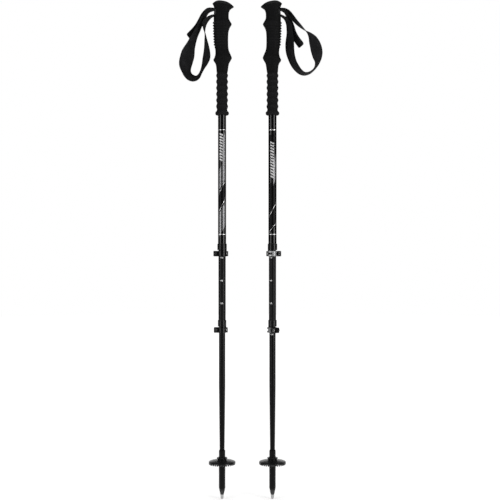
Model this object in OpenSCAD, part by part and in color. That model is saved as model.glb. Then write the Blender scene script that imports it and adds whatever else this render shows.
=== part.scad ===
// A pair of three-section trekking poles with lever locks, set to a walking length.
// Millimetres. Z is up with the tips at zero, X runs from the left pole to the right one.

/* [Tubes] */
// Distance between the axes of the two poles
pole_spacing = 111; // [90:1:160]
// Shift of the pair to the left, which centres it with its straps
pair_shift = 8; // [0:0.5:12]
// Outside diameter of the upper tube
upper_od = 18; // [15:0.5:20]
// Wall of all three tubes
tube_wall = 0.8; // [0.6:0.05:1]
// Gap between a tube and the one that slides in it
tube_gap = 0.2; // [0.1:0.05:0.3]
// Length of the upper tube in view
upper_show = 283; // [240:1:340]
// Length of the middle tube in view
middle_show = 140; // [60:1:200]
// Length of the lower tube in view
lower_show = 258; // [160:1:300]
// Length of the middle tube above the lower end of its lock
middle_inside = 300; // [200:1:340]
// Length of the lower tube above the lower end of its lock
lower_inside = 170; // [120:1:180]
// Length of the drawn taper at the foot of the lower tube
taper_l = 142; // [80:1:150]
// Outside diameter of the lower tube below its taper
foot_od = 10.8; // [9:0.1:11.4]
// Length of a bushing inside its tube
bushing_plug = 20; // [12:1:30]
// Height of a bushing's guide ring
bushing_ring = 8; // [5:1:12]
// Gap between a guide ring and the tube that it runs in
guide_gap = 0.1; // [0.05:0.01:0.15]

/* [Grip] */
// Height of the grip below its cap
grip_h = 148; // [142:1:165]
// Height of the domed cap over its tilted foot
cap_h = 9.8; // [8:0.2:13]
// Rise of the cap's foot from the finger side to the palm side, per millimetre
cap_lean = 0.147; // [0:0.001:0.2]
// Reach of the cap on the finger side
cap_front = 25.8; // [20:0.2:28]
// Reach of the cap on the palm side
cap_rear = 21; // [18:0.2:24]
// Depth of the cap's spigot in the grip
spigot_h = 4; // [3:0.5:5]
// Reach of the finger bump
bump_reach = 21; // [16:0.2:24]
// Reach of the collar at the foot of the grip
collar_reach = 21.4; // [17:0.2:24]
// Number of ribs on the palm side
rib_count = 10; // [4:1:10]
// Step from rib to rib
rib_pitch = 6; // [5:0.2:6.2]
// Height of a rib
rib_h = 2.2; // [0.8:0.1:2.5]
// Wall of the grip beside the strap slot
head_wall = 3.6; // [3:0.2:6]
// Length of the foam extension
foam_l = 94; // [80:1:120]
// Radius of the foam at its rings
foam_crest = 13.1; // [12:0.1:14]
// Depth of the grooves between the rings
foam_groove = 1.8; // [0.5:0.1:2]
// Number of rings
foam_rings = 6; // [3:1:8]
// Radius of the flange at the foot of the foam
flange_r = 15; // [13.6:0.1:17]
// Height of the flange
flange_h = 8; // [6:0.5:14]
// Depth of the rounding of the flange's edge
flange_round = 2.4; // [1:0.1:3]

/* [Strap] */
// Thickness of the webbing
strap_t = 1.6; // [1.2:0.1:1.7]
// Width of the webbing in the grip
strap_w = 20; // [16:0.5:24]
// Width of the webbing round the wrist
wrist_w = 31; // [22:0.5:34]
// Height of the slot's centre below the top of the grip
slot_drop = 16; // [15:0.2:20]
// Height of the lower strand below the slot's centre
strand_drop = 6.6; // [6:0.2:7]
// Height of the first upper layer above the slot's centre
layer_rise = 6; // [5.6:0.2:6.4]
// Step between the two upper layers
layer_step = 2.1; // [2:0.1:2.4]
// Radius of the cross pin
strap_pin_r = 2; // [1.5:0.1:3]
// Depth that the cross pin is let into the grip at each end
strap_pin_seat = 2; // [1:0.2:2.4]
// Room round the webbing in the slot
strap_room = 0.4; // [0.3:0.05:0.6]
// Distance of the slot's mouth from the axis
mouth_x = 19; // [18:0.2:20]
// Height of the flange of the plug in the upper tube
plug_flange = 1.6; // [1:0.1:3]
// Room between the end of the upper tube and the slot
plug_room = 8; // [6:0.5:10]

/* [Locks] */
// Wall of a lock's collar round its tube
sleeve_wall = 1.4; // [1.2:0.1:2.4]
// Height of the collar's sleeve
sleeve_h = 14; // [10:0.5:20]
// Chamfer at the top of the sleeve
sleeve_chamfer = 0.8; // [0.4:0.1:1.2]
// Height of the clamp band
band_h = 12; // [10:0.5:15]
// Height of the relief slot between band and sleeve
relief_h = 2; // [1:0.2:3]
// Width of the slit between the ears
slit_w = 1.6; // [1:0.1:2.4]
// Thickness of an ear
ear_t = 3; // [2.4:0.1:4]
// Reach of the ears beyond the band
ear_reach = 8.6; // [8:0.2:11]
// Radius of an ear's corners
ear_corner = 1.6; // [0.8:0.1:2.4]
// Distance of the screw beyond the band
screw_out = 4.2; // [4:0.1:5]
// Radius of the tension screw
screw_r = 1.75; // [1.5:0.05:2]
// Radius of the screw's head
head_r = 3.2; // [2.8:0.1:3.8]
// Height of the screw's head
head_h = 2.4; // [1.6:0.1:3]
// Radius of the barrel pin
pin_r = 2.4; // [2.2:0.05:2.8]
// Radius of the lever's cam
cam_r = 4; // [3.8:0.1:4.6]
// Throw of the cam
cam_throw = 0.6; // [0.3:0.05:0.8]
// Gap between the closed cam and its ear
cam_gap = 0.3; // [0.2:0.05:0.5]
// Height of a lever
lever_h = 11; // [9:0.5:12]
// Thickness of a lever
lever_t = 2; // [1.4:0.1:2.6]
// Gap between a closed lever and its band
lever_gap = 0.6; // [0.4:0.05:1]
// Angle at which a lever's arc begins, from the ears
lever_start = 30; // [28:1:36]
// Angle at which a lever's arm leaves its arc
arm_end = 74; // [70:1:80]
// Angle at which a lever's window begins
window_start = 95; // [90:1:110]
// Angle at which a lever's window ends
window_end = 172; // [140:1:176]
// Angle at which a lever ends
lever_end = 190; // [160:1:195]
// Rise of the thumb lip at a lever's end
lever_lip = 0.5; // [0.3:0.1:1]
// Height of a lever's window
window_h = 4.6; // [3:0.1:5.5]
// Height of the gap in a lever's fork
fork_gap = 5.2; // [4.4:0.1:6]
// Reach of the gap in a lever's fork round its pin
fork_r = 7.4; // [6.5:0.1:8.5]

/* [Tip] */
// Length of the metal tip in view
tip_show = 10; // [6:0.5:14]
// Radius of the metal tip where it meets the ferrule
tip_r = 3.7; // [3.2:0.1:4.5]
// Radius of the tip's shank
shank_r = 2.5; // [2:0.1:3]
// Length of the tip's shank
shank_l = 22; // [14:1:26]
// Height of the ferrule's cone
cone_h = 15; // [10:0.5:20]
// Radius of the ferrule's round foot
foot_r = 7.1; // [6.6:0.05:7.2]
// Height of the ferrule's round foot
foot_h = 26; // [20:1:32]
// Height of the ferrule's flare below the basket
flare_h = 22; // [16:1:30]
// Radius of the ferrule in the basket
seat_r = 7.3; // [7.2:0.05:7.6]
// Height of the basket's hub
hub_h = 18; // [15:0.5:22]
// Radius of the ferrule's sleeve round the tube
ferrule_r = 7; // [6.6:0.05:7.4]
// Height of the ferrule's sleeve
ferrule_h = 17; // [12:0.5:24]
// Depth of the tube in the ferrule
socket_l = 46; // [36:1:50]
// Height of the lip that holds the basket down
lip_h = 1.4; // [1:0.1:2]
// Reach of that lip
lip_out = 0.6; // [0.4:0.1:1]
// Step of the ferrule round the metal tip
tip_step = 0.3; // [0.1:0.1:0.6]
// Wall of the basket's hub
hub_wall = 2.4; // [1.8:0.1:3]
// Height of the crown over the dish
crown_h = 5; // [4:0.2:6]
// Radius of a notch in the crown
notch_r = 1.9; // [1:0.1:2.4]
// Radius of the basket
basket_r = 29.5; // [24:0.5:36]
// Thickness of the basket's dish
dish_t = 2.2; // [1.6:0.1:3]
// Fall of the dish from hub to rim
dish_fall = 4; // [3:0.5:10]
// Height of the toothed rim
rim_h = 3.4; // [2:0.2:4]
// Thickness of the toothed rim
rim_t = 2; // [1.6:0.1:2.6]
// Number of teeth round the rim
teeth = 36; // [20:2:44]
// Radius of the crown on the hub
crown_r = 11.3; // [10:0.1:13]
// Number of notches in the crown
crown_notches = 8; // [6:1:12]

/* [Hidden] */
$fn = 64;
press_gap = 0.03;
slide_fit = 0.06;
grip_fit = 0.1;
eps = 0.01;

SIDES = ["left", "right"];
PIECES = [
    "grip", "grip_cap", "grip_extension", "strap_neck", "strap_loop", "strap_wedge", "strap_pin",
    "tube_plug", "upper_tube", "upper_lock_collar", "upper_lock_lever", "upper_lock_pin",
    "upper_lock_screw", "middle_bushing", "middle_tube", "lower_lock_collar", "lower_lock_lever",
    "lower_lock_pin", "lower_lock_screw", "lower_bushing", "lower_tube", "tip_ferrule", "basket", "tip"
];

// Which way the palm side of each pole faces along X, and how far each lock is turned about Z
function outward(side) = side == "left" ? -1 : 1;
function upper_turn(side) = side == "left" ? 180 : 0;
function lower_turn(side) = side == "left" ? 180 : -50;
function pole_x(side) = outward(side) * pole_spacing / 2 - pair_shift;

// Heights, stacked from the tip upwards
foot_z = tip_show + cone_h;
flare_z = foot_z + foot_h;
hub_z = flare_z + flare_h;
ferrule_z = hub_z + hub_h;
lower_z = ferrule_z + ferrule_h;
lower_lock_z = lower_z + lower_show;
lock_h = band_h + relief_h + sleeve_h;
middle_z = lower_lock_z + lock_h;
upper_lock_z = middle_z + middle_show;
upper_z = upper_lock_z + lock_h;
foam_z = upper_z + upper_show;
grip_z = foam_z + foam_l;
cap_z = grip_z + grip_h;
slot_z = cap_z - slot_drop;

// Radii of the telescoping tubes
upper_r = upper_od / 2;
middle_r = upper_r - tube_wall - tube_gap;
lower_r = middle_r - tube_wall - tube_gap;
tube_seat = band_h + relief_h;

// Strap slot, wedge and cross pin
slot_half = strap_w / 2 + strap_room;
head_half = slot_half + head_wall;
slot_top = layer_rise + layer_step + strap_t / 2 + strap_room;
slot_foot = strand_drop + strap_t / 2 + strap_room;
wedge_top = layer_rise - strap_t / 2 - strap_room;
wedge_foot = strand_drop - strap_t / 2 - strap_room;
wedge_r = (wedge_top + wedge_foot) / 2;
wedge_mid = (wedge_top - wedge_foot) / 2;
tube_top = slot_z - slot_foot - plug_room;

// Height of the finger bump and of the top of the ribs, and how far the rim stands out at the sides
bump_z = grip_h - 42;
ribs_top = grip_h - 36;
rim_out = 3.4;

// Soft loft of the grip: height, reach to the front, reach to the rear, half width
GRIP = [
    [0, 12.2, 12, 12.2],
    [14, 14.2, 13.2, 13.4],
    [20, 15.6, 15, 14.6],
    [27, collar_reach - 2.1, collar_reach - 2.3, collar_reach - 4],
    [32, collar_reach, collar_reach - 4.4, collar_reach - 4.6],
    [40, 18.5, 14.9, 14.8],
    [49, 14.9, 15, head_half],
    [62, 13.5, 16.4, head_half],
    [bump_z - 18, 14, 17.8, head_half],
    [bump_z - 8, bump_reach - 4.2, 18, head_half],
    [bump_z, bump_reach, 18.2, head_half],
    [bump_z + 6, bump_reach - 2.8, 18.4, head_half],
    [bump_z + 12, 15.2, 18.6, head_half],
    [grip_h - 23, 14.6, 18.4, head_half],
    [grip_h - 15, 15.2, 17.8, head_half],
    [grip_h - 8, 17.6, 17.4, head_half + 0.8],
    [grip_h - 3.5, 21.6, 19, head_half + 2],
    [grip_h, cap_front, cap_rear, head_half + rim_out]
];
SECTION_POINTS = 28;
ribs_z = ribs_top - rib_count * rib_pitch;
GRIP_RINGS = concat(
    [for (k = [0:19]) k * ribs_z / 20],
    [for (k = [0:4 * rib_count - 1]) ribs_z + k * rib_pitch / 4],
    [for (k = [0:14]) ribs_top + k * (grip_h - ribs_top) / 14]
);

// Wrist straps, from the upper exit round the loop to the lower exit, seen from the front:
// distance out from the slot's mouth, height from the slot's centre, turn of the webbing, width
LEFT_LOOP = [
    [0, layer_rise, 0, strap_w], [12, 3, 14, strap_w], [20.5, -8, 22, strap_w], [27, -21, 24, strap_w + 1],
    [33.5, -35, 25, strap_w + 3], [40.5, -50, 26, strap_w + 5], [46, -63, 30, wrist_w - 2],
    [51, -76, 40, wrist_w], [55, -87, 62, wrist_w], [58, -98, 80, wrist_w], [61, -110, 72, wrist_w],
    [62, -119, 58, wrist_w], [60, -129, 36, wrist_w], [55.5, -138, 29, wrist_w], [49, -144, 39, wrist_w],
    [41, -143.5, 28, wrist_w], [33, -139.5, 14, wrist_w], [28, -133, 9, wrist_w], [23.5, -124, 15, wrist_w],
    [18.5, -113, 29, wrist_w], [15.5, -101, 36, wrist_w], [15, -89, 33, wrist_w - 1],
    [15.5, -76, 26, strap_w + 7], [17, -62, 17, strap_w + 4], [18.5, -48, 5, strap_w + 2],
    [20.5, -36, -11, strap_w + 1], [20, -25.5, -23, strap_w], [16, -17.5, -22, strap_w],
    [9.5, -11.5, -12, strap_w], [4.5, -8.2, -5, strap_w], [0, -strand_drop, 0, strap_w]
];
LEFT_TAIL = [
    [0, layer_rise + layer_step, 0, strap_w], [12, 5.6, 14, strap_w], [22, -5, 22, strap_w],
    [29.5, -19, 24, strap_w], [36.5, -31, 24, strap_w], [45, -41.5, 26, strap_w], [56, -53, 28, strap_w]
];
RIGHT_LOOP = [
    [0, layer_rise + layer_step, 0, strap_w], [9, 6, -8, strap_w], [17, 0, -16, strap_w],
    [25, -10, -18, strap_w], [33, -20, -14, strap_w + 1], [42, -29, -6, strap_w + 2],
    [52, -38, 8, strap_w + 4], [62, -46, 28, strap_w + 6], [69, -55, 44, wrist_w - 2],
    [73, -64, 54, wrist_w], [76, -73, 60, wrist_w], [78, -82, 62, wrist_w], [79, -91, 56, wrist_w],
    [79, -102, 40, wrist_w], [78, -113, 18, wrist_w], [73, -124, 4, wrist_w], [64, -132, 2, wrist_w],
    [53, -135, 4, wrist_w], [43, -131, 12, wrist_w], [34.5, -122, 19, wrist_w], [28, -112, 23, wrist_w],
    [23, -99, 28, wrist_w], [20, -86, 34, wrist_w], [19, -73, 38, wrist_w - 1], [19, -60, 38, wrist_w - 3],
    [19, -46, 36, strap_w + 3], [18, -33, 34, strap_w + 1], [15, -22, 24, strap_w],
    [9, -13, 10, strap_w], [0, -strand_drop, 0, strap_w]
];
RIGHT_TAIL = [
    [0, layer_rise, 0, strap_w], [8, 2, -6, strap_w], [14.5, -8, -15, strap_w], [19.5, -19, -25, strap_w],
    [23.5, -32, -32, strap_w], [27, -45, -36, strap_w], [33, -57, -38, strap_w], [41, -68, -40, strap_w],
    [45, -74, -40, strap_w]
];
STRAP_STEPS = 3;
function loop_route(side) = side == "left" ? LEFT_LOOP : RIGHT_LOOP;
function tail_route(side) = side == "left" ? LEFT_TAIL : RIGHT_TAIL;
// Stations at which the neck ends and the free strap begins: first strand, tail, last strand
function neck_ends(side) = side == "left" ? [2, 2, 28] : [3, 2, 27];

// Value of column c at height z, through a list of stations with smooth slopes
function slope(s, c, i) =
    let (a = max(i - 1, 0), b = min(i + 1, len(s) - 1)) (s[b][c] - s[a][c]) / (s[b][0] - s[a][0]);
function last_below(s, z) = max([for (i = [0:len(s) - 2]) if (s[i][0] <= z + eps) i]);
function along(s, c, z) =
    let (i = last_below(s, z), h = s[i + 1][0] - s[i][0], t = (z - s[i][0]) / h)
    s[i][c] * (2 * t ^ 3 - 3 * t ^ 2 + 1) + slope(s, c, i) * h * (t ^ 3 - 2 * t ^ 2 + t)
    + s[i + 1][c] * (3 * t ^ 2 - 2 * t ^ 3) + slope(s, c, i + 1) * h * (t ^ 3 - t ^ 2);

// Ribs stand up on the palm side only and fade out round the sides
function smooth(a, b, x) = let (t = min(max((x - a) / (b - a), 0), 1)) t * t * (3 - 2 * t);
function rib(z) =
    z < ribs_z || z > ribs_z + rib_count * rib_pitch
        ? 0 : rib_h * (1 - cos(360 * (z - ribs_z) / rib_pitch)) / 2;

// One ring of a loft: rounded front and rear halves that meet beside the tube, leaning up to the rear
function ring(z, front, rear, half, bulge, lean, toward) = [
    for (k = [0:SECTION_POINTS - 1])
        let (a = 360 * k / SECTION_POINTS, c = cos(a), s = sin(a), q = 0.88)
        let (lift = bulge * smooth(0.15, 0.7, -c))
        let (reach = c > 0 ? front : rear + lift, side_reach = half + lift * 0.3)
        let (out = -reach * sign(c) * abs(c) ^ q)
        [toward * out, side_reach * sign(s) * abs(s) ^ q, z + lean * out]
];
function lean_at(z) = cap_lean * smooth(grip_h - 24, grip_h, z);
function loft_faces(rings, n, flip) = [
    for (face = concat(
        [for (r = [0:rings - 2]) for (k = [0:n - 1])
            [r * n + k, r * n + (k + 1) % n, (r + 1) * n + (k + 1) % n]],
        [for (r = [0:rings - 2]) for (k = [0:n - 1])
            [r * n + k, (r + 1) * n + (k + 1) % n, (r + 1) * n + k]],
        [[for (k = [n - 1:-1:0]) k]],
        [[for (k = [0:n - 1]) (rings - 1) * n + k]]
    )) flip ? face : [for (k = [len(face) - 1:-1:0]) face[k]]
];
module loft(rings, flip) {
    n = len(rings[0]);
    polyhedron([for (r = rings) for (p = r) p], loft_faces(len(rings), n, flip), convexity = 8);
}

// Strap routes: a smooth curve through the stations, and the webbing's four corners along it
function blend4(p, t) =
    0.5 * (2 * p[1] + (p[2] - p[0]) * t + (2 * p[0] - 5 * p[1] + 4 * p[2] - p[3]) * t ^ 2
        + (3 * p[1] - p[0] - 3 * p[2] + p[3]) * t ^ 3);
function station(route, u) =
    let (n = len(route) - 1, i = min(floor(u), n - 1))
    blend4([route[max(i - 1, 0)], route[i], route[i + 1], route[min(i + 2, n)]], u - i);
function unit(v) = v / norm(v);
function webbing(route, u, side) =
    let (n = len(route) - 1, s = station(route, u), d = outward(side))
    let (ahead = station(route, min(u + eps, n)), behind = station(route, max(u - eps, 0)))
    let (along_x = d * (ahead[0] - behind[0]), along_z = ahead[1] - behind[1])
    let (tangent = unit([along_x, 0, along_z]), across = [-tangent[2], 0, tangent[0]])
    let (wide = [sin(s[2]) * across[0], cos(s[2]), sin(s[2]) * across[2]] * s[3] / 2)
    let (thick = [cos(s[2]) * across[0], -sin(s[2]), cos(s[2]) * across[2]] * strap_t / 2)
    let (centre = [d * (mouth_x + s[0]), 0, slot_z + s[1]])
    [centre + wide + thick, centre - wide + thick, centre - wide - thick, centre + wide - thick];
module band(route, from, to, side) {
    steps = ceil((to - from) * STRAP_STEPS);
    loft([for (k = [0:steps]) webbing(route, from + (to - from) * k / steps, side)], false);
}

// Straight band in the slot between two distances out from the mouth
module strand_in_slot(out_from, out_to, rise) {
    translate([mouth_x + out_from, -strap_w / 2, rise - strap_t / 2])
        cube([out_to - out_from, strap_w, strap_t]);
}

// The tail's strand goes back into the slot, round the wedge and out again below it
module strap_in_grip(side) {
    tail_rise = tail_route(side)[0][1];
    limb_rise = loop_route(side)[0][1];
    turn_r = (tail_rise + strand_drop) / 2;
    translate([0, 0, slot_z]) {
        strand_in_slot(-mouth_x, 0, tail_rise);
        strand_in_slot(-mouth_x, 0, -strand_drop);
        strand_in_slot(-mouth_x + 5, 0, limb_rise);
        translate([0, 0, (tail_rise - strand_drop) / 2])
            rotate([90, 0, 0])
                linear_extrude(strap_w, center = true)
                    intersection() {
                        difference() {
                            circle(turn_r + strap_t / 2);
                            circle(turn_r - strap_t / 2);
                        }
                        translate([-2 * turn_r, -2 * turn_r])
                            square([2 * turn_r, 4 * turn_r]);
                    }
    }
}

module strap_neck(side) {
    loop = loop_route(side);
    tail = tail_route(side);
    ends = neck_ends(side);
    color("#1b1b1c") {
        mirror([side == "left" ? 1 : 0, 0, 0])
            strap_in_grip(side);
        band(loop, 0, ends[0], side);
        band(tail, 0, ends[1], side);
        band(loop, ends[2], len(loop) - 1, side);
    }
}

module strap_loop(side) {
    loop = loop_route(side);
    tail = tail_route(side);
    ends = neck_ends(side);
    color("#1b1b1c") {
        band(loop, ends[0], ends[2], side);
        band(tail, ends[1], len(tail) - 1, side);
    }
}

module strap_wedge(side) {
    color("#2a2a2c")
        mirror([side == "left" ? 1 : 0, 0, 0])
            translate([0, 0, slot_z + wedge_mid])
                rotate([90, 0, 0])
                    linear_extrude(strap_w, center = true)
                        difference() {
                            union() {
                                circle(wedge_r);
                                translate([0, -wedge_r])
                                    square([mouth_x - 3, 2 * wedge_r]);
                            }
                            circle(strap_pin_r + press_gap);
                        }
}

module strap_pin() {
    color("silver")
        translate([0, 0, slot_z + wedge_mid])
            rotate([90, 0, 0])
                cylinder(r = strap_pin_r, h = 2 * (slot_half + strap_pin_seat), center = true);
}

module grip(side) {
    toward = outward(side);
    color("#1d1d1e")
        translate([0, 0, grip_z])
            difference() {
                loft([for (z = GRIP_RINGS)
                    ring(z, along(GRIP, 1, z), along(GRIP, 2, z), along(GRIP, 3, z),
                        rib(z), lean_at(z), toward)],
                    toward > 0);
                translate([0, 0, -eps])
                    cylinder(r = upper_r + press_gap, h = tube_top + plug_flange - grip_z + 2 * eps);
                strap_slot(toward);
                translate([0, 0, slot_z + wedge_mid - grip_z])
                    rotate([90, 0, 0])
                        cylinder(r = strap_pin_r + press_gap,
                            h = 2 * (slot_half + strap_pin_seat), center = true);
                translate([0, 0, grip_h - spigot_h - press_gap])
                    cylinder(r = slot_half + press_gap, h = 2 * spigot_h);
            }
}

// Slot for the webbing, open to the palm side, with a round inner end
module strap_slot(toward) {
    inner_r = (slot_top + slot_foot) / 2;
    mirror([toward < 0 ? 1 : 0, 0, 0])
        translate([0, 0, slot_z - grip_z + (slot_top - slot_foot) / 2])
            rotate([90, 0, 0])
                linear_extrude(2 * slot_half, center = true)
                    union() {
                        circle(inner_r);
                        translate([0, -inner_r])
                            square([2 * mouth_x, 2 * inner_r]);
                    }
}

// Dome that falls off ever faster on its way out, on the grip's tilted rim
module grip_cap(side) {
    dome_rings = 9;
    top_share = 0.2;
    fullness = 2.7;
    toward = outward(side);
    color("#232324")
        translate([0, 0, cap_z]) {
            loft([for (k = [0:dome_rings])
                let (share = 1 - (1 - top_share) * k / dome_rings)
                ring(cap_h * (1 - share ^ fullness), cap_front * share, cap_rear * share,
                    (head_half + rim_out) * share, 0, cap_lean, toward)],
                toward > 0);
            translate([0, 0, -spigot_h])
                cylinder(r = slot_half, h = spigot_h + 1);
        }
}

module grip_extension() {
    wave = foam_l - flange_h;
    pitch = wave / (foam_rings + 0.5);
    steps = 8 * foam_rings + 4;
    color("#2c2c2e")
        translate([0, 0, foam_z])
            rotate_extrude()
                polygon(concat(
                    [[upper_r + press_gap, 0]],
                    [for (k = [0:8])
                        let (turn = 180 * k / 8)
                        [flange_r - flange_round * (1 - sin(turn)), flange_h * (1 - cos(turn)) / 2]],
                    [for (k = [1:steps])
                        let (z = wave * k / steps)
                        [foam_crest - foam_groove * (1 + cos(360 * z / pitch)) / 2, flange_h + z]],
                    [[upper_r + press_gap, foam_l]]
                ));
}

module tube(radius, foot, top) {
    translate([0, 0, foot])
        difference() {
            cylinder(r = radius, h = top - foot);
            translate([0, 0, -eps])
                cylinder(r = radius - tube_wall, h = top - foot + 2 * eps);
        }
}

module upper_tube() {
    color("#141415")
        tube(upper_r, upper_lock_z + tube_seat, tube_top);
}

module tube_plug() {
    color("#2a2a2c")
        translate([0, 0, tube_top]) {
            cylinder(r = upper_r, h = plug_flange);
            translate([0, 0, -bushing_plug])
                cylinder(r = upper_r - tube_wall - press_gap, h = bushing_plug + eps);
        }
}

module middle_tube() {
    color("#1c1c1d")
        tube(middle_r, lower_lock_z + tube_seat, upper_lock_z + middle_inside);
}

// Guide that plugs into the end of one tube and runs in the bore of the next
module bushing(radius, bore, top) {
    color("#2a2a2c")
        translate([0, 0, top])
            difference() {
                union() {
                    cylinder(r = bore - guide_gap, h = bushing_ring);
                    translate([0, 0, -bushing_plug])
                        cylinder(r = radius - tube_wall - press_gap, h = bushing_plug + eps);
                }
                translate([0, 0, -bushing_plug - eps])
                    cylinder(r = radius - 2.5 * tube_wall, h = bushing_plug + bushing_ring + 2 * eps);
            }
}

module middle_bushing() {
    bushing(middle_r, upper_r - tube_wall, upper_lock_z + middle_inside);
}

module lower_bushing() {
    bushing(lower_r, middle_r - tube_wall, lower_lock_z + lower_inside);
}

module lower_tube() {
    foot = lower_z - socket_l;
    top = lower_lock_z + lower_inside;
    foot_radius = foot_od / 2;
    color("#1c1c1d")
        rotate_extrude()
            polygon([
                [foot_radius - tube_wall, foot], [foot_radius, foot], [foot_radius, lower_z],
                [lower_r, lower_z + taper_l], [lower_r, top], [lower_r - tube_wall, top],
                [lower_r - tube_wall, lower_z + taper_l], [foot_radius - tube_wall, lower_z]
            ]);
}

// Lever lock, with its ears along +X and its lever on the -Y side
function sleeve_r(outer) = outer + sleeve_wall;
function pivot(outer) =
    [sleeve_r(outer) + screw_out, -(slit_w / 2 + ear_t + cam_gap + cam_r + cam_throw)];
function polar(radius, angle) = radius * [cos(angle), sin(angle)];

module ear_plate(outer) {
    length = sleeve_wall + ear_reach;
    rotate([90, 0, 0])
        linear_extrude(ear_t, center = true)
            translate([outer, 0])
                union() {
                    square([length, band_h - 2 * ear_corner + eps]);
                    translate([0, -ear_corner])
                        square([length - ear_corner, band_h]);
                    for (z = [0, band_h - 2 * ear_corner])
                        translate([length - ear_corner, z])
                            circle(ear_corner);
                }
}

module lock_collar(outer, inner) {
    radius = sleeve_r(outer);
    color("#1a1a1b")
        difference() {
            union() {
                rotate_extrude()
                    polygon([
                        [0, 0], [radius, 0], [radius, lock_h - sleeve_chamfer],
                        [radius - sleeve_chamfer, lock_h], [0, lock_h]
                    ]);
                for (side_y = [-1, 1])
                    translate([0, side_y * (slit_w + ear_t) / 2, ear_corner])
                        ear_plate(outer);
            }
            translate([0, 0, tube_seat])
                cylinder(r = outer + press_gap, h = lock_h);
            translate([0, 0, -eps])
                cylinder(r = inner + grip_fit, h = lock_h);
            translate([0, -slit_w / 2, -eps])
                cube([2 * radius, slit_w, tube_seat]);
            translate([-radius / 3, -radius - 1, band_h])
                cube([2 * radius, 2 * radius + 2, relief_h]);
            translate([pivot(outer)[0], 0, band_h / 2])
                rotate([90, 0, 0])
                    cylinder(r = screw_r + grip_fit, h = 4 * ear_t, center = true);
        }
}

// Pie slice that spans a range of angles below the ears
module sector(radius, from, to) {
    polygon(concat([[0, 0]], [for (k = [0:8]) polar(radius, -from - (to - from) * k / 8)]));
}

module lever_outline(outer) {
    inside = sleeve_r(outer) + lever_gap;
    outside = inside + lever_t;
    p = pivot(outer);
    cam = [p[0], p[1] + cam_throw];
    difference() {
        union() {
            intersection() {
                difference() {
                    circle(outside);
                    circle(inside);
                }
                sector(3 * outside, lever_start, lever_end);
            }
            translate(polar(inside + lever_t / 2 + lever_lip, -lever_end))
                circle(lever_t / 2 + lever_lip / 2);
            translate(cam)
                circle(cam_r);
            polygon([
                cam + cam_r * [0.25, -0.85], cam + [0, cam_r / 2],
                polar(inside + lever_t / 5, -lever_start - 4), polar(outside - lever_t / 5, -arm_end)
            ]);
        }
        translate(p)
            circle(pin_r + slide_fit);
    }
}

module lock_lever(outer) {
    p = pivot(outer);
    outside = sleeve_r(outer) + lever_gap + lever_t;
    color("#8f9193")
        translate([0, 0, (band_h - lever_h) / 2])
            difference() {
                linear_extrude(lever_h)
                    lever_outline(outer);
                translate([p[0], p[1], (lever_h - fork_gap) / 2])
                    cylinder(r = fork_r, h = fork_gap);
                translate([0, 0, (lever_h - window_h) / 2])
                    linear_extrude(window_h)
                        sector(2 * outside, window_start, window_end);
            }
}

module lock_pin(outer) {
    p = pivot(outer);
    color("silver")
        translate([p[0], p[1], (band_h - lever_h) / 2])
            difference() {
                cylinder(r = pin_r, h = lever_h);
                translate([0, 0, lever_h / 2])
                    rotate([90, 0, 0])
                        cylinder(r = screw_r + press_gap, h = 4 * pin_r, center = true);
            }
}

module lock_screw(outer) {
    p = pivot(outer);
    head_y = slit_w / 2 + ear_t;
    color("silver")
        translate([p[0], head_y, band_h / 2])
            rotate([90, 0, 0])
                difference() {
                    union() {
                        cylinder(r = screw_r, h = head_y - p[1] + pin_r);
                        translate([0, 0, -head_h])
                            cylinder(r = head_r, h = head_h);
                    }
                    translate([0, 0, -head_h - eps])
                        cylinder(r = head_r / 2, h = head_h * 0.7, $fn = 6);
                }
}

module tip_ferrule() {
    bore = foot_od / 2 + press_gap;
    socket_z = lower_z - socket_l;
    shank_top = tip_show + shank_l;
    color("#161617")
        rotate_extrude()
            polygon([
                [shank_r + press_gap, tip_show], [tip_r + tip_step, tip_show], [foot_r, foot_z],
                [foot_r, flare_z], [seat_r, hub_z - 1], [seat_r, ferrule_z], [seat_r + lip_out, ferrule_z],
                [seat_r + lip_out, ferrule_z + lip_h], [ferrule_r, ferrule_z + lip_h],
                [ferrule_r, lower_z - 2], [bore + 0.5, lower_z], [bore, lower_z], [bore, socket_z],
                [0, socket_z], [0, shank_top], [shank_r + press_gap, shank_top]
            ]);
}

module basket() {
    bore = seat_r + grip_fit;
    hub_r = seat_r + hub_wall;
    dish_top = hub_h - crown_h;
    rim_top = dish_top - dish_fall;
    under_rim = rim_top - dish_t;
    hub_fillet = 2;
    tooth_w = PI * basket_r / teeth;
    color("#232325")
        translate([0, 0, hub_z])
            difference() {
                rotate_extrude()
                    polygon([
                        [bore, 0], [hub_r, 0], [hub_r + hub_fillet, dish_top - dish_t - hub_fillet],
                        [basket_r - rim_t, under_rim + rim_t / 2], [basket_r - rim_t, under_rim - rim_h],
                        [basket_r, under_rim - rim_h], [basket_r, rim_top],
                        [basket_r - 3 * rim_t, dish_top - dish_fall / 2], [hub_r + 1.5 * hub_fillet, dish_top],
                        [hub_r, dish_top + 0.6], [crown_r, hub_h - 0.6], [crown_r - 1, hub_h],
                        [bore, hub_h]
                    ]);
                for (k = [0:teeth - 1])
                    rotate([0, 0, 360 * k / teeth])
                        translate([basket_r - 2 * rim_t, -tooth_w / 2, -hub_h])
                            cube([4 * rim_t, tooth_w, hub_h + under_rim]);
                for (k = [0:crown_notches - 1])
                    rotate([0, 0, 360 * (k + 0.5) / crown_notches])
                        translate([crown_r + 0.6, 0, dish_top + 1.4])
                            cylinder(r = notch_r, h = hub_h);
            }
}

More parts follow.
